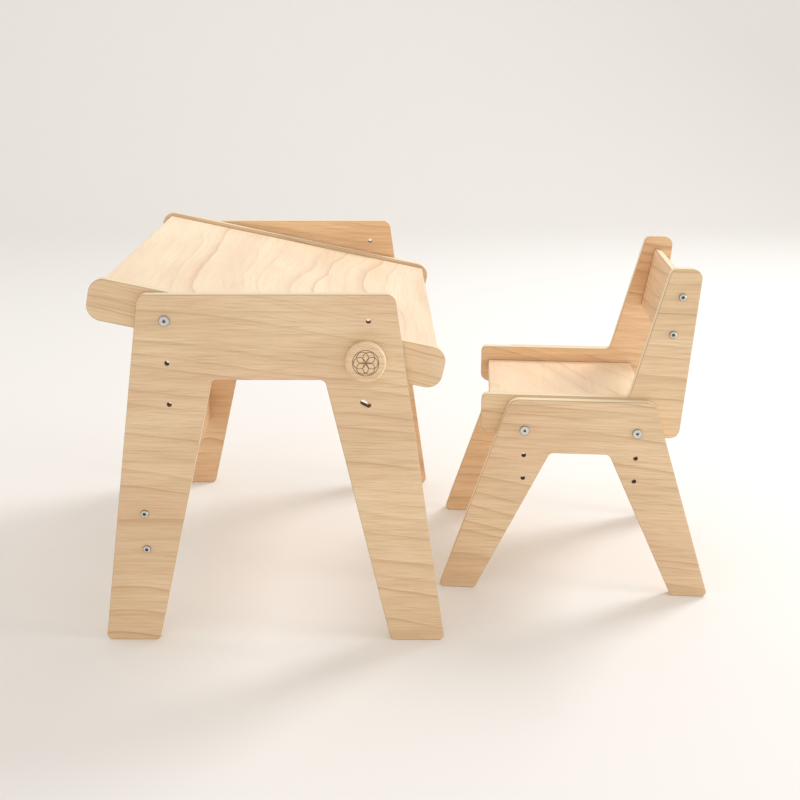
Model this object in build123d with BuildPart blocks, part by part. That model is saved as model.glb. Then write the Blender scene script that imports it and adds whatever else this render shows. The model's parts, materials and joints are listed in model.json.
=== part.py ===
from build123d import *
from math import cos, radians, sin
import os

# A child's plywood table with a tilting top, and the plywood chair that goes with it.
# Millimetres. +Z is up, +X runs from the table to the chair, +Y runs across both of them.
# The origin is on the floor, under the middle of the whole set.
# "Near" names the -Y side of a piece and "far" its +Y side. A side is -1 (near) or +1 (far).

# ---------- driving dimensions ----------
NEAR, FAR = -1, 1
SIDES = (NEAR, FAR)

ply = 15                    # thickness of every board but the backrest
edge_round = 1.5            # sanded edges of the boards
table_x = -217.5            # middle of the table frames
chair_x = 241.0             # middle of the chair
chair_turn = 5              # the chair stands turned clockwise by this angle

# Table frames: one A-shaped board on each side
table_width = 616           # outer face to outer face
frame_height = 500
frame_top_half = 167
frame_foot_half = 240
frame_opening_height = 385
frame_opening_half = 75
frame_inner_foot_half = 164
row_heights = (465.2, 408.2, 351.2)     # rows of holes for the tabletop's bolts
row_half_span = 132.5
hole_radius = 3.5

# Tilting top: u runs along the top from the pivot, w runs square to it
tilt = 12
pivot_x = -133
pivot_z = 465.2
rail_back, rail_front = -106, 372.4     # ends of a rail along u
rail_bottom, rail_top = -22.3, 34.3     # edges of a rail along w
rail_corner = 20
rail_gap = 1.5              # free space between a frame and a rail
top_back, top_front = -93, 360.5        # edges of the tabletop board along u
top_surface = 28.8          # the rails stand proud of this height
rail_screw_places = (40, 135, 230)

# Lock knobs
knob_x, knob_z = 129, 413
knob_radius = 26.5
knob_thickness = 15
knob_ring_radius = 17.2
knob_petals = 6
slot_x, slot_z = 128.8, 352.2
slot_spread = 8.6
slot_angle = -26
running_gap = 0.2           # between faces that turn on each other

# Stretcher between the back legs
stretcher_x = -174.4
stretcher_z = 167.5
stretcher_height = 80
stretcher_bolt_pitch = 53

# Chair
chair_width = 318
legs_height = 307.6
legs_top_half = 105
legs_foot_half = 205
legs_opening_height = 225.5
legs_opening_half = 43.5
legs_inner_foot_half = 149.5
leg_bolt_x = 82
leg_bolt_z = 260.3
spare_leg_rows = (221.5, 185)
arm_top = 310.3
arm_bottom = 249
arm_front = -147
upright_top = 502.5
upright_front_top, upright_front_foot = 116.5, 68.4
upright_rear_top, upright_rear_foot = 160.2, 144.5
seat_surface = 287.6
seat_front, seat_rear = -134.7, 104
seat_screw_places = (-70, 45)
back_thickness = 12
back_height = 95
back_lean = 9.5
back_middle = (129, 435)    # middle of the backrest seen from the side
back_bolt_pitch = 56

# Fasteners
m6 = 3.0                    # thread radius
m6_shank = 2.95             # radius of a bolt in its nut
m6_clearance = 3.2          # hole radius for an M6 screw
flat_head_radius = 7.2
flat_head_height = 2.2
flat_head_round = 0.8
flat_socket_radius = 2.3    # across the corners of the hexagon, halved
flat_socket_depth = 1.8
button_head_radius = 5.4
button_head_height = 3.0
button_head_round = 2.0
button_socket_radius = 2.6
button_socket_depth = 2.2
countersunk_radius = 6.0
countersunk_height = 3.0
countersink_play = 0.2      # of a countersink around its screw's head
sleeve_radius = 4.0
barrel_radius = 5.0
barrel_length = 10
barrel_room = 0.3           # of a barrel nut's hole past its end
washer_radius = 9
fit_play = 0.1              # between a nut and the hole that it sits in
tip_room = 8                # of a bolt's hole beyond its barrel nut
tip_length = 6              # of a bolt beyond its barrel nut

# ---------- base planes ----------
tilt_cos, tilt_sin = cos(radians(tilt)), sin(radians(tilt))
turn_cos, turn_sin = cos(radians(chair_turn)), sin(radians(chair_turn))
table = Plane(origin=(table_x, 0, 0))
chair = Plane(origin=(chair_x, 0, 0), x_dir=(turn_cos, -turn_sin, 0), z_dir=(0, 0, 1))
top = Plane(
    origin=(table_x + pivot_x, 0, pivot_z),
    x_dir=(tilt_cos, 0, -tilt_sin),
    z_dir=(tilt_sin, 0, tilt_cos),
)
frame_face = table_width / 2            # outer face of a table frame
frame_inside = frame_face - ply
rail_face = frame_inside - rail_gap     # outer face of a rail
rail_inside = rail_face - ply
legs_face = chair_width / 2             # outer face of a chair leg board
side_face = legs_face - ply             # outer face of a chair side board
side_inside = side_face - ply


def wall(base, y):
    """Upright sketch plane at y, seen from the near side: x along the base, y up."""
    return Plane(
        origin=base.from_local_coords((0, y, 0)),
        x_dir=base.x_dir,
        z_dir=base.y_dir * -1,
    )


def spot(base, x, y, z, side):
    """Place on an upright face, with its z axis pointing out of that side."""
    return Plane(
        origin=base.from_local_coords((x, y, z)),
        x_dir=base.x_dir,
        z_dir=base.y_dir * side,
    )


def round_outline(board, radius):
    """Round the outer edges of a board's two broad faces."""
    faces = board.faces().sort_by(SortBy.AREA)[-2:]
    edges = [edge for face in faces for edge in face.outer_wire().edges()]
    fillet(edges, radius)


def outline_board(plane, corners, radii, holes=()):
    """Board cut to a rounded outline, with plain round holes given as (x, y, radius)."""
    with BuildPart() as board:
        with BuildSketch(plane):
            with BuildLine():
                FilletPolyline(*corners, radius=radii, close=True)
            make_face()
            for x, y, radius in holes:
                with Locations((x, y)):
                    Circle(radius, mode=Mode.SUBTRACT)
        extrude(amount=ply)
        round_outline(board, edge_round)
    return board


def a_shape(top_half, foot_half, height, opening_half, inner_foot_half, opening_height):
    """Corners of an A-shaped frame, from the top left corner round to the left foot."""
    return [
        (-top_half, height),
        (top_half, height),
        (foot_half, 0),
        (inner_foot_half, 0),
        (opening_half, opening_height),
        (-opening_half, opening_height),
        (-inner_foot_half, 0),
        (-foot_half, 0),
    ]


# ---------- fasteners, each made at the origin with its head above the XY plane ----------
below = (Align.CENTER, Align.CENTER, Align.MAX)     # hangs a round solid under its place


def flat_bolt(length):
    """Connector bolt with a wide flat head and a hexagon socket."""
    with BuildPart() as bolt:
        with BuildSketch():
            Circle(flat_head_radius)
        extrude(amount=flat_head_height)
        fillet(bolt.edges().sort_by(Axis.Z)[-1], flat_head_round)
        with BuildSketch(Plane.XY.offset(flat_head_height)):
            RegularPolygon(flat_socket_radius, 6)
        extrude(amount=-flat_socket_depth, mode=Mode.SUBTRACT)
        with BuildSketch():
            Circle(m6_shank)
        extrude(amount=-length)
    return bolt


def button_bolt(length):
    """Screw with a small domed head and a hexagon socket."""
    with BuildPart() as bolt:
        with BuildSketch():
            Circle(button_head_radius)
        extrude(amount=button_head_height)
        fillet(bolt.edges().sort_by(Axis.Z)[-1], button_head_round)
        with BuildSketch(Plane.XY.offset(button_head_height)):
            RegularPolygon(button_socket_radius, 6)
        extrude(amount=-button_socket_depth, mode=Mode.SUBTRACT)
        with BuildSketch():
            Circle(m6_shank)
        extrude(amount=-length)
    return bolt


def countersunk_screw(length):
    """Screw whose head lies flush: its top face is the XY plane."""
    with BuildPart() as screw:
        Cone(m6, countersunk_radius, countersunk_height, align=below)
        Cylinder(m6_shank, length, align=below)
        with BuildSketch():
            RegularPolygon(flat_socket_radius, 6)
        extrude(amount=-flat_socket_depth, mode=Mode.SUBTRACT)
    return screw


def countersink(place):
    """Cone cut into the board being built, for a flush screw whose head faces out of place."""
    with Locations(place.location):
        Cone(
            m6 + countersink_play,
            countersunk_radius + countersink_play,
            countersunk_height + countersink_play / 2,
            align=below,
            mode=Mode.SUBTRACT,
        )


def barrel_nut(length):
    """Cross dowel: its axis is Z, and its threaded hole runs along Y through the middle."""
    with BuildPart() as nut:
        Cylinder(barrel_radius, length)
        with BuildSketch(Plane.XZ.offset(-barrel_radius)):
            Circle(m6)
        extrude(amount=2 * barrel_radius, mode=Mode.SUBTRACT)
    return nut


def sleeve_nut(barrel):
    """Connector nut: a flat head above the XY plane and a threaded barrel below it."""
    with BuildPart() as nut:
        with BuildSketch():
            Circle(flat_head_radius)
        extrude(amount=flat_head_height)
        fillet(nut.edges().sort_by(Axis.Z)[-1], flat_head_round)
        with BuildSketch():
            Circle(sleeve_radius)
        extrude(amount=-barrel)
        with BuildSketch(Plane.XY.offset(-barrel)):
            Circle(m6)
        extrude(amount=barrel, mode=Mode.SUBTRACT)
    return nut


def group(shape, planes):
    """One node of identical fasteners, a separate solid at each plane."""
    with BuildPart() as fasteners:
        for plane in planes:
            with Locations(plane.location):
                add(shape.part)
    return fasteners


# ---------- table frames ----------
frame_corners = a_shape(
    frame_top_half,
    frame_foot_half,
    frame_height,
    frame_opening_half,
    frame_inner_foot_half,
    frame_opening_height,
)
frame_radii = [12, 12, 8, 8, 9, 9, 8, 8]
stretcher_bolt_heights = [stretcher_z + stretcher_bolt_pitch / 2 * k for k in (-1, 1)]
frame_holes = [(-row_half_span, z, hole_radius) for z in row_heights[1:]]
frame_holes += [(pivot_x, pivot_z, hole_radius), (row_half_span, row_heights[0], hole_radius)]
frame_holes += [(knob_x, knob_z, hole_radius)]
frame_holes += [(stretcher_x, z, m6_clearance) for z in stretcher_bolt_heights]


def table_frame(side):
    """A-shaped side frame, with an inclined slot for the steepest setting of the top."""
    plane = wall(table, frame_face if side == FAR else -frame_inside)
    with BuildPart() as frame:
        add(outline_board(plane, frame_corners, frame_radii, frame_holes).part)
        with BuildSketch(plane):
            with Locations((slot_x, slot_z)):
                SlotCenterToCenter(slot_spread, 2 * hole_radius, rotation=slot_angle)
        extrude(amount=ply, mode=Mode.SUBTRACT)
    return frame


table_frame_near = table_frame(NEAR)
table_frame_far = table_frame(FAR)

# ---------- stretcher ----------
barrel_depth = (ply + barrel_length) / 2 + barrel_room  # of a barrel nut's hole in a board
stretcher_barrel_inset = 30
with BuildPart() as stretcher:
    with BuildSketch(table.offset(stretcher_z - stretcher_height / 2)):
        with Locations((stretcher_x, 0)):
            Rectangle(ply, 2 * frame_inside)
    extrude(amount=stretcher_height)
    long_edges = stretcher.edges().filter_by(Axis.Y)
    fillet(long_edges, edge_round)
    for side in SIDES:
        for z in stretcher_bolt_heights:
            with BuildSketch(spot(table, stretcher_x, side * frame_inside, z, side)):
                Circle(m6_clearance)
            extrude(amount=-stretcher_barrel_inset - tip_room, mode=Mode.SUBTRACT)
            barrel_y = side * (frame_inside - stretcher_barrel_inset)
            barrel_mouth = Plane(
                origin=(table_x + stretcher_x - ply / 2, barrel_y, z),
                z_dir=(-1, 0, 0),
            )
            with BuildSketch(barrel_mouth):
                Circle(barrel_radius + fit_play)
            extrude(amount=-barrel_depth, mode=Mode.SUBTRACT)

stretcher_bolts = group(
    button_bolt(ply + stretcher_barrel_inset + tip_length),
    [
        spot(table, stretcher_x, side * frame_face, z, side)
        for side in SIDES
        for z in stretcher_bolt_heights
    ],
)
stretcher_barrel_nuts = group(
    barrel_nut(barrel_length),
    [
        Plane(
            origin=(table_x + stretcher_x, y, z),
            x_dir=(0, 0, 1),
            z_dir=(-1, 0, 0),
        )
        for y in (stretcher_barrel_inset - frame_inside, frame_inside - stretcher_barrel_inset)
        for z in stretcher_bolt_heights
    ],
)

# ---------- tilting top ----------
rail_corners = [
    (rail_back, rail_top),
    (rail_front, rail_top),
    (rail_front, rail_bottom),
    (rail_back, rail_bottom),
]
rail_middle = top_surface - ply / 2     # the tabletop's screws lie at this height
knob_u = (knob_x - pivot_x) * tilt_cos - (knob_z - pivot_z) * tilt_sin
knob_w = (knob_x - pivot_x) * tilt_sin + (knob_z - pivot_z) * tilt_cos
pivot_clearance = 0.06      # of a rail's hole round the sleeve nut that it turns on
insert_radius = 4.5
insert_length = 13
top_barrel_inset = 28


def side_rail(side):
    """Rounded rail beside the tabletop: it turns on the pivot and takes the lock knob."""
    plane = wall(top, side * rail_face if side == FAR else -rail_inside)
    holes = [(0, 0, sleeve_radius + pivot_clearance)]
    holes += [(u, rail_middle, m6_clearance) for u in rail_screw_places]
    board = outline_board(plane, rail_corners, [rail_corner] * 4, holes)
    outer = [spot(top, u, side * rail_face, rail_middle, side) for u in rail_screw_places]
    with BuildPart() as rail:
        add(board.part)
        for place in outer:
            countersink(place)
        with BuildSketch(spot(top, knob_u, side * rail_face, knob_w, side)):
            Circle(insert_radius)
        extrude(amount=-insert_length, mode=Mode.SUBTRACT)
    return rail


side_rail_near = side_rail(NEAR)
side_rail_far = side_rail(FAR)

with BuildPart() as tabletop:
    with BuildSketch(top.offset(top_surface - ply)):
        with Locations(((top_back + top_front) / 2, 0)):
            Rectangle(top_front - top_back, 2 * rail_inside)
    extrude(amount=ply)
    cross_edges = tabletop.edges().filter_by(Axis.Y)
    fillet(cross_edges, edge_round)
    for side in SIDES:
        for u in rail_screw_places:
            with BuildSketch(spot(top, u, side * rail_inside, rail_middle, side)):
                Circle(m6_clearance)
            extrude(amount=-top_barrel_inset - tip_room, mode=Mode.SUBTRACT)
            barrel_y = side * (rail_inside - top_barrel_inset)
            mouth = top.from_local_coords((u, barrel_y, top_surface - ply))
            with BuildSketch(Plane(origin=mouth, x_dir=top.x_dir, z_dir=top.z_dir)):
                Circle(barrel_radius + fit_play)
            extrude(amount=barrel_depth, mode=Mode.SUBTRACT)

rail_screws = group(
    countersunk_screw(ply + top_barrel_inset + tip_length),
    [
        spot(top, u, side * rail_face, rail_middle, side)
        for side in SIDES
        for u in rail_screw_places
    ],
)
rail_barrel_nuts = group(
    barrel_nut(barrel_length),
    [
        Plane(
            origin=top.from_local_coords((u, y, rail_middle)),
            x_dir=top.x_dir,
            z_dir=top.z_dir,
        )
        for y in (top_barrel_inset - rail_inside, rail_inside - top_barrel_inset)
        for u in rail_screw_places
    ],
)

with BuildPart() as rail_inserts:
    for side in SIDES:
        with BuildSketch(spot(top, knob_u, side * rail_face, knob_w, side)):
            Circle(insert_radius)
            Circle(m6, mode=Mode.SUBTRACT)
        extrude(amount=-insert_length)

# ---------- pivots of the top ----------
pivot_play = 0.3            # end play of a rail between its washer and its sleeve nut
washer_thickness = rail_gap - pivot_play
sleeve_length = rail_gap + ply + pivot_play
pivot_faces = [spot(table, pivot_x, side * frame_face, pivot_z, side) for side in SIDES]
bolt_shortfall = 3          # a connector bolt stops this far inside its sleeve nut
pivot_bolts = group(flat_bolt(ply + sleeve_length - bolt_shortfall), pivot_faces)
pivot_sleeve_nuts = group(
    sleeve_nut(sleeve_length),
    [
        spot(table, pivot_x, side * (frame_inside - sleeve_length), pivot_z, -side)
        for side in SIDES
    ],
)
with BuildPart() as pivot_washers:
    for side in SIDES:
        with BuildSketch(spot(table, pivot_x, side * frame_inside, pivot_z, side)):
            Circle(washer_radius)
            Circle(sleeve_radius + fit_play, mode=Mode.SUBTRACT)
        extrude(amount=-washer_thickness)

# ---------- lock knobs ----------
knob_washer_thickness = 1.0
knob_back = frame_face + 2 * running_gap + knob_washer_thickness
stud_in_knob = 10
thread_play = 0.02
stud_tip_gap = 0.3          # from the stud's tip to the rail
stud_length = stud_in_knob + knob_back - frame_inside + rail_gap - stud_tip_gap
knob_round = 3
groove_width = 0.9
groove_depth = 0.7


def knob_washer(side):
    """Plain washer under a knob."""
    with BuildPart() as washer:
        plane = spot(table, knob_x, side * (frame_face + running_gap), knob_z, side)
        with BuildSketch(plane):
            Circle(washer_radius)
            Circle(m6_clearance, mode=Mode.SUBTRACT)
        extrude(amount=knob_washer_thickness)
    return washer


def knob(side):
    """Round wooden knob with an engraved ring and a plain rosette inside it."""
    plane = spot(table, knob_x, side * knob_back, knob_z, side)
    front = plane.offset(knob_thickness)
    petal_radius = (knob_ring_radius - groove_width) / 2
    with BuildPart() as disc:
        with BuildSketch(plane):
            Circle(knob_radius)
        extrude(amount=knob_thickness)
        fillet(disc.edges(), knob_round)
        with BuildSketch(plane):
            Circle(m6 + thread_play)
        extrude(amount=stud_in_knob + running_gap, mode=Mode.SUBTRACT)
        with BuildSketch(front):
            Circle(knob_ring_radius + groove_width / 2)
            Circle(knob_ring_radius - groove_width / 2, mode=Mode.SUBTRACT)
        extrude(amount=-groove_depth, mode=Mode.SUBTRACT)
        for petal in range(knob_petals):
            turn = radians(360 * petal / knob_petals)
            with BuildSketch(front):
                with Locations((petal_radius * cos(turn), petal_radius * sin(turn))):
                    Circle(petal_radius)
                    Circle(petal_radius - groove_width, mode=Mode.SUBTRACT)
            extrude(amount=-groove_depth, mode=Mode.SUBTRACT)
    return disc


def knob_stud(side):
    """Threaded stud fixed in the knob, which runs through the hole in the frame."""
    with BuildPart() as stud:
        with BuildSketch(spot(table, knob_x, side * (knob_back + stud_in_knob), knob_z, side)):
            Circle(m6)
        extrude(amount=-stud_length)
    return stud


knob_washer_near, knob_washer_far = knob_washer(NEAR), knob_washer(FAR)
knob_near, knob_far = knob(NEAR), knob(FAR)
knob_stud_near, knob_stud_far = knob_stud(NEAR), knob_stud(FAR)

# ---------- chair boards ----------
legs_corners = a_shape(
    legs_top_half,
    legs_foot_half,
    legs_height,
    legs_opening_half,
    legs_inner_foot_half,
    legs_opening_height,
)
legs_radii = [18, 18, 7, 7, 9, 9, 7, 7]
legs_holes = [
    (side_x * leg_bolt_x, z, hole_radius)
    for side_x in (-1, 1)
    for z in (leg_bolt_z, *spare_leg_rows)
]
side_corners = [
    (arm_front, arm_bottom),
    (upright_rear_foot, arm_bottom),
    (upright_rear_top, upright_top),
    (upright_front_top, upright_top),
    (upright_front_foot, arm_top),
    (arm_front, arm_top),
]
side_radii = [15, 14, 14, 10, 8, 9]
back_sin, back_cos = sin(radians(back_lean)), cos(radians(back_lean))
back_bolt_spots = [
    (
        back_middle[0] + k * back_bolt_pitch / 2 * back_sin,
        back_middle[1] + k * back_bolt_pitch / 2 * back_cos,
    )
    for k in (-1, 1)
]
seat_middle = seat_surface - ply / 2
seat_barrel_inset = 28
back_barrel_inset = 28
back_barrel_length = 8
back_barrel_depth = (back_thickness + back_barrel_length) / 2 + barrel_room


def chair_side(side):
    """Low arm and sloping upright in one board, with flush screws for the seat."""
    plane = wall(chair, side * side_face if side == FAR else -side_inside)
    holes = [(x, leg_bolt_z, sleeve_radius + fit_play) for x in (-leg_bolt_x, leg_bolt_x)]
    holes += [(x, z, m6_clearance) for x, z in back_bolt_spots]
    holes += [(x, seat_middle, m6_clearance) for x in seat_screw_places]
    board = outline_board(plane, side_corners, side_radii, holes)
    with BuildPart() as panel:
        add(board.part)
        for x in seat_screw_places:
            countersink(spot(chair, x, side * side_face, seat_middle, side))
    return panel


chair_legs_near = outline_board(
    wall(chair, -side_face), legs_corners, legs_radii, legs_holes
)
chair_legs_far = outline_board(
    wall(chair, legs_face), legs_corners, legs_radii, legs_holes
)
chair_side_near = chair_side(NEAR)
chair_side_far = chair_side(FAR)

with BuildPart() as chair_seat:
    with BuildSketch(chair.offset(seat_surface - ply)):
        with Locations(((seat_front + seat_rear) / 2, 0)):
            Rectangle(seat_rear - seat_front, 2 * side_inside)
    extrude(amount=ply)
    cross_edges = chair_seat.edges().filter_by(Axis((0, 0, 0), chair.y_dir))
    fillet(cross_edges, edge_round)
    for side in SIDES:
        for x in seat_screw_places:
            with BuildSketch(spot(chair, x, side * side_inside, seat_middle, side)):
                Circle(m6_clearance)
            extrude(amount=-seat_barrel_inset - tip_room, mode=Mode.SUBTRACT)
            barrel_y = side * (side_inside - seat_barrel_inset)
            mouth = chair.from_local_coords((x, barrel_y, seat_surface - ply))
            with BuildSketch(Plane(origin=mouth, x_dir=chair.x_dir, z_dir=(0, 0, 1))):
                Circle(barrel_radius + fit_play)
            extrude(amount=barrel_depth, mode=Mode.SUBTRACT)

# Backrest: its own plane faces the rear, with x across the chair and y up the lean
back = Plane(
    origin=chair.from_local_coords((back_middle[0], 0, back_middle[1])),
    x_dir=chair.y_dir,
    z_dir=chair.x_dir * back_cos - chair.z_dir * back_sin,
)
with BuildPart() as chair_backrest:
    with BuildSketch(back.offset(-back_thickness / 2)):
        Rectangle(2 * side_inside, back_height)
    extrude(amount=back_thickness)
    cross_edges = chair_backrest.edges().filter_by(Axis((0, 0, 0), chair.y_dir))
    fillet(cross_edges, edge_round)
    for side in SIDES:
        for x, z in back_bolt_spots:
            with BuildSketch(spot(chair, x, side * side_inside, z, side)):
                Circle(m6_clearance)
            extrude(amount=-back_barrel_inset - tip_room, mode=Mode.SUBTRACT)
    with BuildSketch(back.offset(back_thickness / 2)):
        with GridLocations(2 * (side_inside - back_barrel_inset), back_bolt_pitch, 2, 2):
            Circle(barrel_radius + fit_play)
    extrude(amount=-back_barrel_depth, mode=Mode.SUBTRACT)

# ---------- chair fasteners ----------
leg_sleeve_gap = 0.5        # from a sleeve nut's end to the leg board
leg_bolt_places = [(side_x * leg_bolt_x, side) for side in SIDES for side_x in (-1, 1)]
leg_sleeve_length = ply - leg_sleeve_gap
chair_leg_bolts = group(
    flat_bolt(2 * ply - bolt_shortfall),
    [spot(chair, x, side * legs_face, leg_bolt_z, side) for x, side in leg_bolt_places],
)
chair_leg_nuts = group(
    sleeve_nut(leg_sleeve_length),
    [spot(chair, x, side * side_inside, leg_bolt_z, -side) for x, side in leg_bolt_places],
)
seat_screws = group(
    countersunk_screw(ply + seat_barrel_inset + tip_length),
    [
        spot(chair, x, side * side_face, seat_middle, side)
        for side in SIDES
        for x in seat_screw_places
    ],
)
seat_barrel_nuts = group(
    barrel_nut(barrel_length),
    [
        Plane(
            origin=chair.from_local_coords((x, y, seat_middle)),
            x_dir=chair.x_dir,
            z_dir=chair.z_dir,
        )
        for y in (seat_barrel_inset - side_inside, side_inside - seat_barrel_inset)
        for x in seat_screw_places
    ],
)
backrest_bolts = group(
    button_bolt(ply + back_barrel_inset + tip_length),
    [spot(chair, x, side * side_face, z, side) for side in SIDES for x, z in back_bolt_spots],
)
backrest_barrel_nuts = group(
    barrel_nut(back_barrel_length),
    [
        Plane(
            origin=chair.from_local_coords((x, y, z)),
            x_dir=back.y_dir * -1,
            z_dir=back.z_dir,
        )
        for y in (back_barrel_inset - side_inside, side_inside - back_barrel_inset)
        for x, z in back_bolt_spots
    ],
)

# ---------- export, one file per piece ----------
pieces = {
    "table_frame_near": table_frame_near,
    "table_frame_far": table_frame_far,
    "stretcher": stretcher,
    "stretcher_bolts": stretcher_bolts,
    "stretcher_barrel_nuts": stretcher_barrel_nuts,
    "tabletop": tabletop,
    "side_rail_near": side_rail_near,
    "side_rail_far": side_rail_far,
    "rail_screws": rail_screws,
    "rail_barrel_nuts": rail_barrel_nuts,
    "rail_inserts": rail_inserts,
    "pivot_bolts": pivot_bolts,
    "pivot_sleeve_nuts": pivot_sleeve_nuts,
    "pivot_washers": pivot_washers,
    "knob_near": knob_near,
    "knob_far": knob_far,
    "knob_stud_near": knob_stud_near,
    "knob_stud_far": knob_stud_far,
    "knob_washer_near": knob_washer_near,
    "knob_washer_far": knob_washer_far,
    "chair_legs_near": chair_legs_near,
    "chair_legs_far": chair_legs_far,
    "chair_side_near": chair_side_near,
    "chair_side_far": chair_side_far,
    "chair_seat": chair_seat,
    "chair_backrest": chair_backrest,
    "chair_leg_bolts": chair_leg_bolts,
    "chair_leg_nuts": chair_leg_nuts,
    "seat_screws": seat_screws,
    "seat_barrel_nuts": seat_barrel_nuts,
    "backrest_bolts": backrest_bolts,
    "backrest_barrel_nuts": backrest_barrel_nuts,
}
os.makedirs("parts", exist_ok=True)
for name, piece in pieces.items():
    piece.part.label = name
    export_step(piece.part, f"parts/{name}.step")
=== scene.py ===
import json
import math
from collections import namedtuple

import bpy
from mathutils import Matrix, Vector

# Looks of a child's plywood table with a tilting top, and of its chair. Metres, in the frame's
# axes: +X runs from the table to the chair, +Y away from the camera, +Z up.

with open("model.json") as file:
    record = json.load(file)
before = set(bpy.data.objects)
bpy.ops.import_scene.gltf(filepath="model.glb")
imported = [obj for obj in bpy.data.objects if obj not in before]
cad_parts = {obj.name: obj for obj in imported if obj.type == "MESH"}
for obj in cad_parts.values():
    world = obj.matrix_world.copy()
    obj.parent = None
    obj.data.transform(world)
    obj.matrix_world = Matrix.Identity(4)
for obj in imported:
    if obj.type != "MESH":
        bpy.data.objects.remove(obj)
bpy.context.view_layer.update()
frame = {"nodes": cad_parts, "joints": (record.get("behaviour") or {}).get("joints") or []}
nodes = frame["nodes"]
joints = {joint["name"]: joint for joint in frame["joints"]}

# ---------- camera ----------
CAMERA_PLACE = (-0.0768, -1.7716, 0.8260)
CAMERA_PITCH, CAMERA_YAW, CAMERA_ROLL = 17.744, 0.309, -0.063      # degrees: down, left, level
CAMERA_SENSOR = 36
CAMERA_LENS = 52.12
CAMERA_SHIFT = 0.0391


def make_camera():
    """The camera at the photo's viewing angle."""
    data = bpy.data.cameras.new("camera")
    data.sensor_width = CAMERA_SENSOR
    data.lens = CAMERA_LENS
    data.shift_x = CAMERA_SHIFT
    camera = bpy.data.objects.new("camera", data)
    bpy.context.scene.collection.objects.link(camera)
    turn = Matrix.Rotation(math.radians(CAMERA_YAW), 4, "Z")
    tip = Matrix.Rotation(math.radians(90 - CAMERA_PITCH), 4, "X")
    roll = Matrix.Rotation(math.radians(CAMERA_ROLL), 4, "Z")
    camera.matrix_world = Matrix.Translation(CAMERA_PLACE) @ turn @ tip @ roll
    bpy.context.scene.camera = camera


# ---------- stage: pale floor, backdrop and soft light ----------
FLOOR_HALF = 9.0
BACKDROP_START = 3.2
BACKDROP_RADIUS = 1.6
BACKDROP_HEIGHT = 5.0
BACKDROP_STEPS = 16
FLOOR_COLOUR = (0.890, 0.880, 0.865, 1)
FLOOR_ROUGHNESS = 0.7
FLOOR_SPECULAR = 0.25
WORLD_COLOUR = (1.0, 0.960, 0.910, 1)
WORLD_STRENGTH = 0.80
DAYLIGHT = (0.985, 0.985, 1.0)
AIM = (0, 0, 0.2)
# Soft boxes: direction from +X towards +Y, height above the floor (degrees), distance, size, watts
LIGHTS = {
    "key": (39, 47, 3.6, 1.2, 46),
    "right": (345, 12, 3.6, 1.1, 36),
    "left": (172, 12, 3.6, 1.1, 15),
}


def make_floor():
    """One sheet: a floor that curves up into a backdrop behind the object."""
    profile = [(-FLOOR_HALF, 0.0), (BACKDROP_START, 0.0)]
    for step in range(1, BACKDROP_STEPS + 1):
        angle = math.pi / 2 * step / BACKDROP_STEPS
        back = BACKDROP_START + BACKDROP_RADIUS * math.sin(angle)
        profile.append((back, BACKDROP_RADIUS * (1 - math.cos(angle))))
    profile.append((BACKDROP_START + BACKDROP_RADIUS, BACKDROP_HEIGHT))
    points = [(x, y, z) for y, z in profile for x in (-FLOOR_HALF, FLOOR_HALF)]
    faces = [(2 * i, 2 * i + 1, 2 * i + 3, 2 * i + 2) for i in range(len(profile) - 1)]
    mesh = bpy.data.meshes.new("floor")
    mesh.from_pydata(points, [], faces)
    mesh.shade_smooth()
    floor = bpy.data.objects.new("floor", mesh)
    bpy.context.scene.collection.objects.link(floor)
    material = bpy.data.materials.new("floor")
    material.use_nodes = True
    surface = material.node_tree.nodes["Principled BSDF"]
    surface.inputs["Base Color"].default_value = FLOOR_COLOUR
    surface.inputs["Roughness"].default_value = FLOOR_ROUGHNESS
    surface.inputs["Specular IOR Level"].default_value = FLOOR_SPECULAR
    mesh.materials.append(material)


def soft_box(name, heading, height, distance, size, power):
    """Round area light that looks at the object from the given direction."""
    across, up = math.radians(heading), math.radians(height)
    level = math.cos(up)
    outward = Vector((math.cos(across) * level, math.sin(across) * level, math.sin(up)))
    data = bpy.data.lights.new(name, "AREA")
    data.shape = "DISK"
    data.size = size
    data.energy = power
    data.color = DAYLIGHT
    light = bpy.data.objects.new(name, data)
    light.location = outward * distance
    light.rotation_euler = (Vector(AIM) - light.location).to_track_quat("-Z", "Y").to_euler()
    bpy.context.scene.collection.objects.link(light)


def make_light():
    """Warm pale surroundings, a key from behind on the right, and low light from both ends."""
    world = bpy.data.worlds.new("studio")
    world.use_nodes = True
    surroundings = world.node_tree.nodes["Background"]
    surroundings.inputs["Color"].default_value = WORLD_COLOUR
    surroundings.inputs["Strength"].default_value = WORLD_STRENGTH
    bpy.context.scene.world = world
    for name, settings in LIGHTS.items():
        soft_box(name, *settings)


# ---------- node graphs ----------
# A noise stretched by some times per metre along, across and through a board, and the values
# between which it takes effect as a mask
Layer = namedtuple("Layer", "stretch seed detail roughness low high", defaults=(0.0, 1.0))


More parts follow.
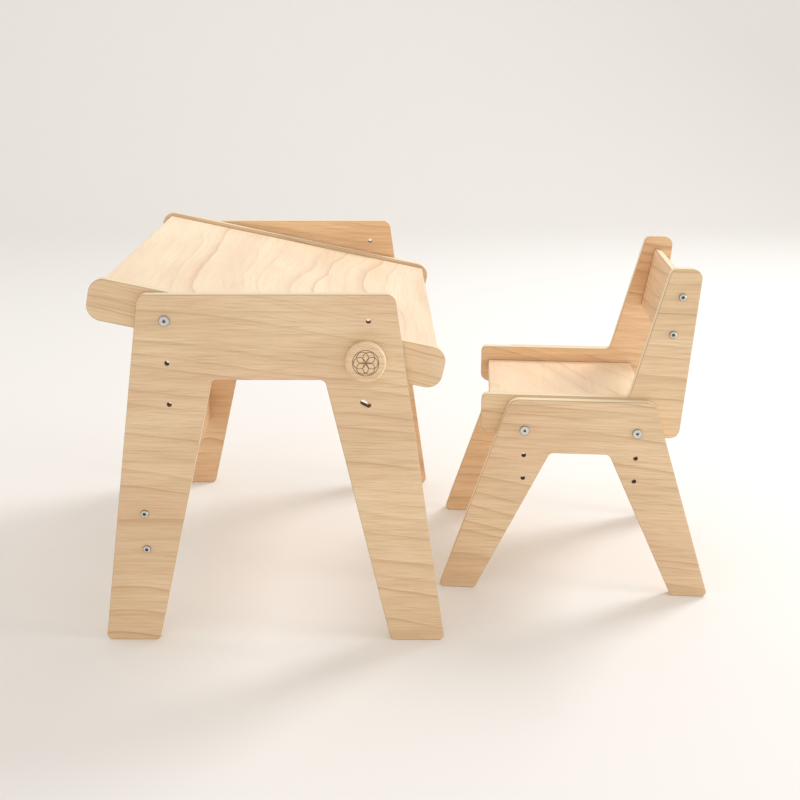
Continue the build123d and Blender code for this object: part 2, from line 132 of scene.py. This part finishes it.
class Graph:
    """Short calls that build the node graph of one material."""

    def __init__(self, name):
        self.material = bpy.data.materials.new(name)
        self.material.use_nodes = True
        self.tree = self.material.node_tree
        self.tree.nodes.clear()

    def node(self, kind, inputs, **settings):
        """A node whose inputs are plain values, or sockets to link to."""
        made = self.tree.nodes.new(kind)
        for key, value in settings.items():
            setattr(made, key, value)
        for key, value in inputs.items():
            if isinstance(value, bpy.types.NodeSocket):
                self.tree.links.new(value, made.inputs[key])
            else:
                made.inputs[key].default_value = value
        return made

    def math(self, operation, first, second=0.0, third=0.0):
        ends = {0: first, 1: second, 2: third}
        return self.node("ShaderNodeMath", ends, operation=operation).outputs[0]

    def times(self, first, second):
        return self.math("MULTIPLY", first, second)

    def times_plus(self, first, second, third):
        return self.math("MULTIPLY_ADD", first, second, third)

    def step(self, value, low, high):
        """0 below low and 1 above high, smooth in between. With low above high it falls."""
        ends = {"Value": value, "From Min": low, "From Max": high}
        made = self.node("ShaderNodeMapRange", ends, interpolation_type="SMOOTHSTEP")
        return made.outputs["Result"]

    def deeper(self, from_middle, face, depths):
        """Where the surface lies below a face, from the first depth to the second."""
        return self.step(from_middle, face - depths[0], face - depths[1])

    def noise(self, place, layer, seed):
        shift = seed + layer.seed
        move = (shift, shift * 0.37, shift * 0.71)      # so that boards don't repeat each other
        ends = {"Vector": place, "Scale": layer.stretch, "Location": move}
        ends = {
            "Vector": self.node("ShaderNodeMapping", ends).outputs[0],
            "Scale": 1.0,
            "Detail": layer.detail,
            "Roughness": layer.roughness,
        }
        return self.node("ShaderNodeTexNoise", ends).outputs[0]

    def mask(self, place, layer, seed):
        return self.step(self.noise(place, layer, seed), layer.low, layer.high)

    def line(self, value, detail=1.0, roughness=0.5):
        """Noise along one number only."""
        ends = {"W": value, "Scale": 1.0, "Detail": detail, "Roughness": roughness}
        return self.node("ShaderNodeTexNoise", ends, noise_dimensions="1D").outputs[0]

    def mix(self, factor, first, second):
        ends = {0: factor, 6: first, 7: second}         # 6 and 7 are the colour sockets
        return self.node("ShaderNodeMix", ends, data_type="RGBA").outputs[2]

    def tint(self, colour, towards, mask, share):
        """The colour moved towards another one by a share of the mask."""
        return self.mix(self.times(mask, share), colour, towards)

    def split(self, vector):
        return self.node("ShaderNodeSeparateXYZ", {"Vector": vector}).outputs

    def nearest(self, along, across, centres):
        """Distance to the nearest of some centres, seen through the thickness."""
        flat = self.node("ShaderNodeCombineXYZ", {0: along, 1: across}).outputs[0]
        least = None
        for centre in centres:
            gap = self.node("ShaderNodeVectorMath", {0: flat, 1: centre}, operation="DISTANCE")
            gap = gap.outputs["Value"]
            least = gap if least is None else self.math("MINIMUM", least, gap)
        return least

    def place(self, rotation, origin):
        """Coordinates in a board's own axes, in metres from its middle."""
        where = self.node("ShaderNodeTexCoord", {}).outputs["Object"]
        ends = {"Vector": where, "Location": origin, "Rotation": rotation.to_euler()}
        return self.node("ShaderNodeMapping", ends, vector_type="TEXTURE").outputs[0]

    def finish(self, colour, roughness, height, bump, bump_distance, **uniform):
        """Principled surface with a bump, whose other values are the same all over."""
        ends = {"Height": height, "Strength": bump, "Distance": bump_distance}
        normal = self.node("ShaderNodeBump", ends).outputs[0]
        ends = {"Base Color": colour, "Roughness": roughness, "Normal": normal}
        surface = self.node("ShaderNodeBsdfPrincipled", ends)
        for key, value in uniform.items():
            surface.inputs[key.replace("_", " ")].default_value = value
        target = self.node("ShaderNodeOutputMaterial", {})
        self.tree.links.new(surface.outputs[0], target.inputs["Surface"])
        return self.material


# ---------- plywood ----------
SLOW_BEND = Layer((2.0, 3.2, 3.0), 0, 1.5, 0.5)
QUICK_BEND = Layer((9.0, 22.0, 12.0), 5, 2.0, 0.5)
FADING = Layer((5.0, 14.0, 9.0), 29, 1.0, 0.5, 0.26, 0.56)
BROAD = Layer((3.0, 10.0, 4.0), 11, 2.0, 0.5, 0.30, 0.75)
BLUSH = Layer((6.0, 18.0, 4.0), 17, 2.0, 0.5, 0.42, 0.70)
FIBRE = Layer((18.0, 520.0, 520.0), 0, 3.0, 0.65, 0.42, 0.72)
STREAK = Layer((2.6, 120.0, 60.0), 3, 3.0, 0.6, 0.40, 0.75)
FLECK = Layer((170.0, 900.0, 300.0), 9, 1.0, 0.5, 0.66, 0.78)
CELLS = Layer((900.0, 900.0, 1200.0), 21, 2.0, 0.5, 0.4, 0.8)

# Growth rings, counted by a radius that wanders. Arches close along the board.
ARCH_SLOPE, ARCH_START = 0.55, 0.12
QUICK_SHARE = 0.07                      # of the wander
UNEVEN_PITCH, UNEVEN_RINGS = 0.6, 1.8
LINE_POWER, SHADE_POWER = 8.0, 2.2      # how late in a ring its line and its shade set in
RING_END = 0.95
BOLD_PITCH, BOLD_START, BOLD_SHARE = 1.3, 7.0, 0.75
BOLD_LOW, BOLD_HIGH = 0.34, 0.66
FINE_PITCH, FINE_DETAIL, FINE_ROUGHNESS = 6.5, 2.0, 0.6
FINE_LOW, FINE_HIGH = 0.48, 0.66

# How far each mark moves the colour
BLUSH_SHARE = 0.65
BROAD_SHARE = 0.26
LINE_SHARE = 0.74
SHADE_SHARE = 0.17
FINE_SHARE = 0.10
STREAK_SHARE = 0.22
FIBRE_SHARE = 0.34
FLECK_SHARE = 0.20
CELLS_SHARE = 0.35
GLUE_SHARE = 0.35
# painted shade along the arrises
ARRIS_SHADE_SHARE = 0.75
# painted shade, darker towards the floor
FOOT_SHADE_SHARE = 0.16
GAP_SHADE_SHARE = 0.85                    # painted shade in seams and bores
CARVED_SHARE = 0.82

VENEER = 0.0009                         # thickness of the face veneers
THICK_PLIES, THIN_PLIES = 9, 7          # between the face veneers
THIN_BOARD = 0.013
VENEER_BLUR = 0.00008
GLUE_WIDTH = 0.07                       # of a ply
OUTER_PLY = (0.0010, 0.0002)            # depths below the veneer
# depths of the painted shade along the arrises
ARRIS_SHADE_DEPTHS = (0.00004, 0.0004)
SEAM_SHADOW_DEPTHS = (0.0034, 0.0018)          # painted shadow, from the ends of a board set between two others
# depths of the painted shade in the spare holes
BORE_SHADE_DEPTHS = (0.0002, 0.0009)
BORE_REACH, BORE_BLUR = 0.0085, 0.001   # of the painted shade in a spare hole: from its middle to just past its rim
CARVED_DEPTHS = (0.00010, 0.00035)
CARVED_BLUR = 0.0003
FIBRE_HEIGHT, STREAK_HEIGHT, FLECK_HEIGHT = 0.6, 0.3, 0.5
SATIN, FIBRE_ROUGHNESS, EDGE_ROUGHNESS = 0.36, 0.22, 0.16
WOOD_BUMP, WOOD_BUMP_DISTANCE = 0.22, 0.0004
COAT = {"Coat_Weight": 0.06, "Coat_Roughness": 0.30, "Specular_IOR_Level": 0.36}

FRAME_WOOD = {
    "light": (0.930, 0.715, 0.470, 1),
    "dark": (0.500, 0.285, 0.125, 1),
    "rosy": (0.900, 0.640, 0.420, 1),
    "contrast": 1.0,
    "rings": 1.0,
    "fibres": 1.0,
}
# Painted light: a warmer copy of the frame wood, as if lit by light bounced off the wood, for the
# far boards and the backrest
PAINTED_BOUNCE_WOOD = {
    **FRAME_WOOD,
    "light": (0.950, 0.675, 0.415, 1),
    "dark": (0.500, 0.265, 0.110, 1),
    "rosy": (0.920, 0.605, 0.370, 1),
}
# Painted shade: a darker copy for the stretcher, which stands in the shade under the top
PAINTED_SHADE_WOOD = {**PAINTED_BOUNCE_WOOD, "light": (0.730, 0.500, 0.300, 1), "rosy": (0.710, 0.445, 0.270, 1)}
# Painted light: a paler copy of the frame wood for the near chair side and the knobs
PAINTED_LIT_WOOD = {**FRAME_WOOD, "light": (0.960, 0.740, 0.480, 1), "rosy": (0.940, 0.680, 0.440, 1)}
# Its paler tone is partly the seat's own and partly painted light, as on a face lit from above
SEAT_WOOD = {
    "light": (0.970, 0.790, 0.560, 1),
    "dark": (0.720, 0.460, 0.290, 1),
    "rosy": (0.970, 0.720, 0.500, 1),
    "contrast": 0.80,
    "rings": 1.6,
    "fibres": 0.8,
}
# Its paler tone is partly the top's own and partly painted light, as on a face lit from above
TOP_WOOD = {
    "light": (0.960, 0.830, 0.615, 1),
    "dark": (0.720, 0.440, 0.260, 1),
    "rosy": (0.950, 0.735, 0.540, 1),
    "contrast": 0.95,
    "rings": 1.25,
    "fibres": 0.6,
}
PLY_LONG = (0.920, 0.790, 0.560, 1)
PLY_END = (0.840, 0.690, 0.470, 1)
# colour of the glue lines, also used for the painted shade along the arrises
GLUE_AND_ARRIS_SHADE = (0.420, 0.290, 0.170, 1)
# colour of the burnt carving, also used for the painted shade in seams and spare holes
BURNT_AND_GAP_SHADE = (0.150, 0.080, 0.038, 1)


def board_box(node, rotation):
    """Middle of a node in the frame's axes, and its size along the axes of rotation."""
    back = rotation.transposed()
    points = [back @ vertex.co for vertex in nodes[node].data.vertices]
    low = Vector([min(point[i] for point in points) for i in range(3)])
    high = Vector([max(point[i] for point in points) for i in range(3)])
    return rotation @ ((low + high) / 2), high - low


def figure(graph, place, seed, ring_pitch, wander, cathedral):
    """Growth rings cut by the knife: the line that ends each ring, its shade, and fine lines."""
    along, across, _ = graph.split(place)
    lean = graph.times_plus(along, ARCH_SLOPE, ARCH_START)
    squares = graph.math("ADD", graph.times(across, across), graph.times(lean, lean))
    plain = graph.times(across, 1.0 - cathedral)
    radius = graph.times_plus(graph.math("SQRT", squares), cathedral, plain)
    radius = graph.times_plus(graph.noise(place, SLOW_BEND, seed), wander, radius)
    quick = graph.noise(place, QUICK_BEND, seed)
    radius = graph.times_plus(quick, wander * QUICK_SHARE, radius)

    uneven = graph.line(graph.times(radius, UNEVEN_PITCH / ring_pitch))
    rings = graph.times_plus(radius, 1.0 / ring_pitch, seed)
    into = graph.math("FRACT", graph.times_plus(uneven, UNEVEN_RINGS, rings))
    fall = graph.step(into, 1.0, RING_END)
    thin = graph.times(graph.math("POWER", into, LINE_POWER), fall)
    shade = graph.times(graph.math("POWER", into, SHADE_POWER), fall)

    # Some rings are bolder than others, and each of them fades in places
    bold = graph.line(graph.times_plus(radius, BOLD_PITCH / ring_pitch, BOLD_START), 0.0)
    bold = graph.step(bold, BOLD_LOW, BOLD_HIGH)
    bold = graph.times_plus(bold, BOLD_SHARE, 1.0 - BOLD_SHARE)
    strength = graph.times(bold, graph.mask(place, FADING, seed))
    fine = graph.line(graph.times(radius, FINE_PITCH / ring_pitch), FINE_DETAIL, FINE_ROUGHNESS)
    fine = graph.step(fine, FINE_LOW, FINE_HIGH)
    return graph.times(thin, strength), graph.times(shade, strength), fine


def edge_plies(graph, place, depth, from_middle, thickness, seed):
    """Colour of the plies on a board's edges, their glue lines, and where they show."""
    core = thickness / 2 - VENEER
    plies = THICK_PLIES if thickness > THIN_BOARD else THIN_PLIES
    level = graph.times_plus(depth, plies / (2 * core), plies / 2)
    odd = graph.math("PINGPONG", graph.math("FLOOR", level), 1.0)
    edge = graph.mix(odd, PLY_LONG, PLY_END)
    edge = graph.tint(edge, PLY_END, graph.mask(place, CELLS, seed), CELLS_SHARE)
    from_glue = graph.math("PINGPONG", graph.math("FRACT", level), 0.5)
    glue = graph.times(graph.step(from_glue, GLUE_WIDTH, 0.0), GLUE_SHARE)
    inside = graph.step(from_middle, core + VENEER_BLUR, core - VENEER_BLUR)
    return graph.mix(glue, edge, GLUE_AND_ARRIS_SHADE), glue, inside


def plywood(node, rotation, wood, seed, ring_pitch, wander, cathedral,
            seam_shadows=False, carved=0.0, holes=()):
    """Veneered board: figure on its faces, pale plies on its edges, a clear lacquer, and painted
    shade along its arrises, at seamed ends, in spare holes and towards the floor.
    """
    middle, size = board_box(node, rotation)
    face = size.z / 2
    graph = Graph(node)
    place = graph.place(rotation, middle)
    along, across, depth = graph.split(place)
    from_middle = graph.math("ABSOLUTE", depth)

    thin, shade, fine = figure(graph, place, seed, ring_pitch, wander, cathedral)
    fibre = graph.noise(place, FIBRE, seed)
    streak = graph.noise(place, STREAK, seed)
    flecks = graph.mask(place, FLECK, seed)
    blush = graph.mask(place, BLUSH, seed)
    colour = graph.tint(wood["light"], wood["rosy"], blush, BLUSH_SHARE)
    for mask, share in (
        (graph.mask(place, BROAD, seed), BROAD_SHARE),
        (thin, LINE_SHARE * wood["rings"]),
        (shade, SHADE_SHARE * wood["rings"]),
        (fine, FINE_SHARE),
        (graph.step(streak, STREAK.low, STREAK.high), STREAK_SHARE * wood["fibres"]),
        (graph.step(fibre, FIBRE.low, FIBRE.high), FIBRE_SHARE * wood["fibres"]),
        (flecks, FLECK_SHARE),
    ):
        colour = graph.tint(colour, wood["dark"], mask, share * wood["contrast"])

    edge, glue, inside = edge_plies(graph, place, depth, from_middle, size.z, seed)
    colour = graph.mix(inside, colour, edge)
    if not carved:
        # Painted shade: a dark outline along the arrises, in the glue colour
        outer_ply = graph.deeper(from_middle, face - VENEER, OUTER_PLY)
        arris_shade = graph.times(graph.deeper(from_middle, face, ARRIS_SHADE_DEPTHS), outer_ply)
        colour = graph.tint(colour, GLUE_AND_ARRIS_SHADE, arris_shade, ARRIS_SHADE_SHARE)
    if seam_shadows:
        # Painted shadow in the gaps at the ends of a board set between two others
        seam_shadow = graph.deeper(graph.math("ABSOLUTE", along), size.x / 2, SEAM_SHADOW_DEPTHS)
        colour = graph.tint(colour, BURNT_AND_GAP_SHADE, seam_shadow, GAP_SHADE_SHARE)
    if holes:
        # Painted shade: darker towards the floor
        foot_shade = graph.step(across, 0.0, -size.y / 2)
        colour = graph.tint(colour, wood["dark"], foot_shade, FOOT_SHADE_SHARE)
        # Painted shade on the walls of the spare holes
        centres = [(x, height - size.y / 2, 0) for x, height in holes]
        off_hole = graph.nearest(along, across, centres)
        near = graph.step(off_hole, BORE_REACH + BORE_BLUR, BORE_REACH)
        bore_shade = graph.times(graph.deeper(from_middle, face, BORE_SHADE_DEPTHS), near)
        colour = graph.tint(colour, BURNT_AND_GAP_SHADE, bore_shade, GAP_SHADE_SHARE)
    if carved:
        off_centre = graph.nearest(along, across, [(0, 0, 0)])
        within = graph.step(off_centre, carved + CARVED_BLUR, carved)
        burnt = graph.times(within, graph.deeper(from_middle, face, CARVED_DEPTHS))
        colour = graph.tint(colour, BURNT_AND_GAP_SHADE, burnt, CARVED_SHARE)

    grain = graph.times_plus(fibre, FIBRE_HEIGHT, graph.times(streak, STREAK_HEIGHT))
    grain = graph.math("SUBTRACT", grain, graph.times(flecks, FLECK_HEIGHT))
    grain = graph.math("SUBTRACT", grain, graph.times(inside, glue))
    rough = graph.times_plus(fibre, FIBRE_ROUGHNESS, SATIN)
    rough = graph.times_plus(inside, EDGE_ROUGHNESS, rough)
    material = graph.finish(colour, rough, grain, WOOD_BUMP, WOOD_BUMP_DISTANCE, **COAT)
    nodes[node].material_slots[0].material = material


# ---------- metal and nylon ----------
SAME_AXIS = 0.016       # points nearer than this, seen along the bolts, belong to one bolt
BLOTCH = Layer((420.0, 420.0, 420.0), 0, 3.0, 0.5, 0.35, 0.75)
SCRATCH = Layer((300.0, 5200.0, 2600.0), 4, 2.0, 0.5, 0.60, 0.72)
LATHE_PITCH, LATHE_DETAIL = 5200.0, 2.0     # lathe rings per metre
SCRATCH_SHARE = 0.25
# painted shade in the hex sockets
SOCKET_SHADE_SHARE, SOCKET_DEPTHS = 0.85, (0.0001, 0.0006)
SOCKET_FULL = 0.85                          # of its radius, from where it is fully dark
# painted shade round the edges of the heads
RIM_SHADE_SHARE, RIM_SHADE_DEPTHS = 0.6, (0.0011, 0.0003)
SCRATCH_ROUGHNESS = 0.08
LATHE_HEIGHT, BLOTCH_HEIGHT = 0.5, 0.5
METAL_BUMP, METAL_BUMP_DISTANCE = 0.18, 0.0001

NICKEL = {
    "light": (0.760, 0.750, 0.730, 1),
    "dark": (0.600, 0.590, 0.570, 1),
    # colour of the painted shade in the sockets and round the edges of the heads
    "painted_shade": (0.050, 0.046, 0.042, 1),
    "rough": 0.30,
    "spread": 0.16,
    "metallic": 1.0,
    "socket": 0.0027,
    "shaded_rim": 0.0072,
}
SMALL_NICKEL = {**NICKEL, "shaded_rim": 0.0054}
ZINC = {
    "light": (0.700, 0.710, 0.720, 1),
    "dark": (0.520, 0.530, 0.540, 1),
    "rough": 0.34,
    "spread": 0.20,
    "metallic": 1.0,
    "socket": 0.0,
}
BRASS = {**ZINC, "light": (0.850, 0.640, 0.300, 1), "dark": (0.640, 0.450, 0.190, 1)}
NYLON = {
    **ZINC,
    "light": (0.800, 0.790, 0.760, 1),
    "dark": (0.700, 0.690, 0.655, 1),
    "rough": 0.45,
    "metallic": 0.0,
}


def bolt_axes(node, rotation, middle):
    """Where each bolt of a node stands, seen along the bolts."""
    back = rotation.transposed()
    groups = []
    for vertex in nodes[node].data.vertices:
        point = (back @ (vertex.co - middle)).xy
        for group in groups:
            if (point - group[0]).length < SAME_AXIS:
                group.append(point)
                break
        else:
            groups.append([point])
    centres = []
    for group in groups:
        span_x = [point.x for point in group]
        span_y = [point.y for point in group]
        centres.append(((min(span_x) + max(span_x)) / 2, (min(span_y) + max(span_y)) / 2, 0))
    return centres


def hardware(node, rotation, look, seed):
    """Turned metal or moulded nylon: lathe rings, blotches, fine scratches, and painted shade in
    the sockets and round the edges of the heads.
    """
    middle, size = board_box(node, rotation)
    graph = Graph(node)
    place = graph.place(rotation, middle)
    along, across, depth = graph.split(place)
    off_axis = graph.nearest(along, across, bolt_axes(node, rotation, middle))
    turned = graph.line(graph.times(off_axis, LATHE_PITCH), LATHE_DETAIL)
    blotch = graph.noise(place, BLOTCH, seed)
    scratched = graph.mask(place, SCRATCH, seed)
    blotched = graph.step(blotch, BLOTCH.low, BLOTCH.high)
    colour = graph.mix(blotched, look["light"], look["dark"])
    colour = graph.tint(colour, look["dark"], scratched, SCRATCH_SHARE)
    if look["socket"]:
        # Painted shade in the hex socket, and round the edge of the head where it meets the wood
        within = graph.step(off_axis, look["socket"], look["socket"] * SOCKET_FULL)
        sunk = graph.deeper(graph.math("ABSOLUTE", depth), size.z / 2, SOCKET_DEPTHS)
        colour = graph.tint(colour, look["painted_shade"], graph.times(sunk, within), SOCKET_SHADE_SHARE)
        shaded_rim = graph.deeper(off_axis, look["shaded_rim"], RIM_SHADE_DEPTHS)
        colour = graph.tint(colour, look["painted_shade"], shaded_rim, RIM_SHADE_SHARE)
    rough = graph.times_plus(blotch, look["spread"], look["rough"])
    rough = graph.times_plus(scratched, SCRATCH_ROUGHNESS, rough)
    height = graph.times_plus(turned, LATHE_HEIGHT, graph.times(blotch, BLOTCH_HEIGHT))
    material = graph.finish(
        colour, rough, height, METAL_BUMP, METAL_BUMP_DISTANCE, Metallic=look["metallic"]
    )
    nodes[node].material_slots[0].material = material


# ---------- boards and hardware ----------
X, Y, Z = Vector((1, 0, 0)), Vector((0, 1, 0)), Vector((0, 0, 1))
TILT = math.radians(joints["top_tilt"]["range_deg"][1])     # at rest, as much as its travel
CHAIR_TURN = math.radians(5)
BACK_LEAN = math.radians(9.5)
tilt = Matrix.Rotation(TILT, 3, "Y")
turn = Matrix.Rotation(-CHAIR_TURN, 3, "Z")
lean = turn @ Matrix.Rotation(BACK_LEAN, 3, "Y")


def axes(along, across):
    """Rotation whose x runs along the grain, y across it, and z through the board."""
    return Matrix((along, across, along.cross(across))).transposed()


ACROSS_TABLE = axes(X, Z)
ACROSS_CHAIR = axes(turn @ X, Z)
ACROSS_TOP = axes(tilt @ X, tilt @ Z)

# Node, axes, wood, seed, ring pitch, wander of the rings, and share of cathedral arches
BOARDS = [
    ("table_frame_near", ACROSS_TABLE, FRAME_WOOD, 3.1, 0.021, 0.080, 0.25),
    ("table_frame_far", ACROSS_TABLE, PAINTED_BOUNCE_WOOD, 8.4, 0.021, 0.120, 0.30),
    ("stretcher", axes(Y, Z), PAINTED_SHADE_WOOD, 5.7, 0.016, 0.080, 0.20),
    ("tabletop", axes(Y, tilt @ X), TOP_WOOD, 12.3, 0.036, 0.170, 0.12),
    ("side_rail_near", ACROSS_TOP, FRAME_WOOD, 15.9, 0.013, 0.050, 0.10),
    ("side_rail_far", ACROSS_TOP, FRAME_WOOD, 18.2, 0.013, 0.050, 0.10),
    ("chair_legs_near", ACROSS_CHAIR, FRAME_WOOD, 21.6, 0.018, 0.060, 0.22),
    ("chair_legs_far", ACROSS_CHAIR, PAINTED_BOUNCE_WOOD, 24.8, 0.018, 0.070, 0.22),
    ("chair_side_near", ACROSS_CHAIR, PAINTED_LIT_WOOD, 26.1, 0.021, 0.045, 0.12),
    ("chair_side_far", ACROSS_CHAIR, PAINTED_BOUNCE_WOOD, 30.5, 0.017, 0.090, 0.20),
    ("chair_seat", axes(turn @ Y, turn @ X), SEAT_WOOD, 33.7, 0.024, 0.140, 0.45),
    ("chair_backrest", axes(turn @ Y, lean @ Z), PAINTED_BOUNCE_WOOD, 36.4, 0.015, 0.080, 0.20),
]
# Boards with a painted shadow at their ends, where they meet the boards beside them
SHADOWED_SEAMS = ("tabletop", "chair_seat", "chair_backrest")
# Spare holes of the standing panels: along from their middle, and above the floor
FRAME_HOLES = [(-0.1325, 0.4082), (-0.1325, 0.3512), (0.1325, 0.4652), (0.1288, 0.3522)]
LEG_HOLES = [(side * 0.082, height) for side in (-1, 1) for height in (0.2215, 0.185)]
HOLES = {
    "table_frame_near": FRAME_HOLES,
    "table_frame_far": FRAME_HOLES,
    "chair_legs_near": LEG_HOLES,
    "chair_legs_far": LEG_HOLES,
}
KNOBS = [("knob_near", 41.2), ("knob_far", 44.9)]
KNOB_FIGURE = (0.009, 0.030, 0.15)      # ring pitch, wander and share of arches
KNOB_CARVING = 0.0187                   # radius within which the face is carved
HARDWARE = [
    ("pivot_bolts", ACROSS_TABLE, NICKEL),
    ("pivot_sleeve_nuts", ACROSS_TABLE, NICKEL),
    ("stretcher_bolts", ACROSS_TABLE, SMALL_NICKEL),
    ("chair_leg_bolts", ACROSS_CHAIR, NICKEL),
    ("chair_leg_nuts", ACROSS_CHAIR, NICKEL),
    ("backrest_bolts", ACROSS_CHAIR, SMALL_NICKEL),
    ("stretcher_barrel_nuts", ACROSS_TABLE, ZINC),
    ("rail_screws", ACROSS_TABLE, ZINC),
    ("rail_barrel_nuts", ACROSS_TABLE, ZINC),
    ("seat_screws", ACROSS_CHAIR, ZINC),
    ("seat_barrel_nuts", ACROSS_CHAIR, ZINC),
    ("backrest_barrel_nuts", ACROSS_CHAIR, ZINC),
    ("knob_stud_near", ACROSS_TABLE, ZINC),
    ("knob_stud_far", ACROSS_TABLE, ZINC),
    ("knob_washer_near", ACROSS_TABLE, ZINC),
    ("knob_washer_far", ACROSS_TABLE, ZINC),
    ("rail_inserts", ACROSS_TABLE, BRASS),
    ("pivot_washers", ACROSS_TABLE, NYLON),
]
FIRST_SEED, SEED_STEP = 50.0, 3


def dress():
    """Give every carried-over node its material."""
    for node, rotation, *looks in BOARDS:
        plywood(node, rotation, *looks, seam_shadows=node in SHADOWED_SEAMS, holes=HOLES.get(node, ()))
    for node, seed in KNOBS:
        plywood(node, ACROSS_TABLE, PAINTED_LIT_WOOD, seed, *KNOB_FIGURE, carved=KNOB_CARVING)
    for count, (node, rotation, look) in enumerate(HARDWARE):
        hardware(node, rotation, look, FIRST_SEED + SEED_STEP * count)


make_camera()
make_floor()
make_light()
dress()
bpy.context.scene.view_settings.view_transform = "Standard"
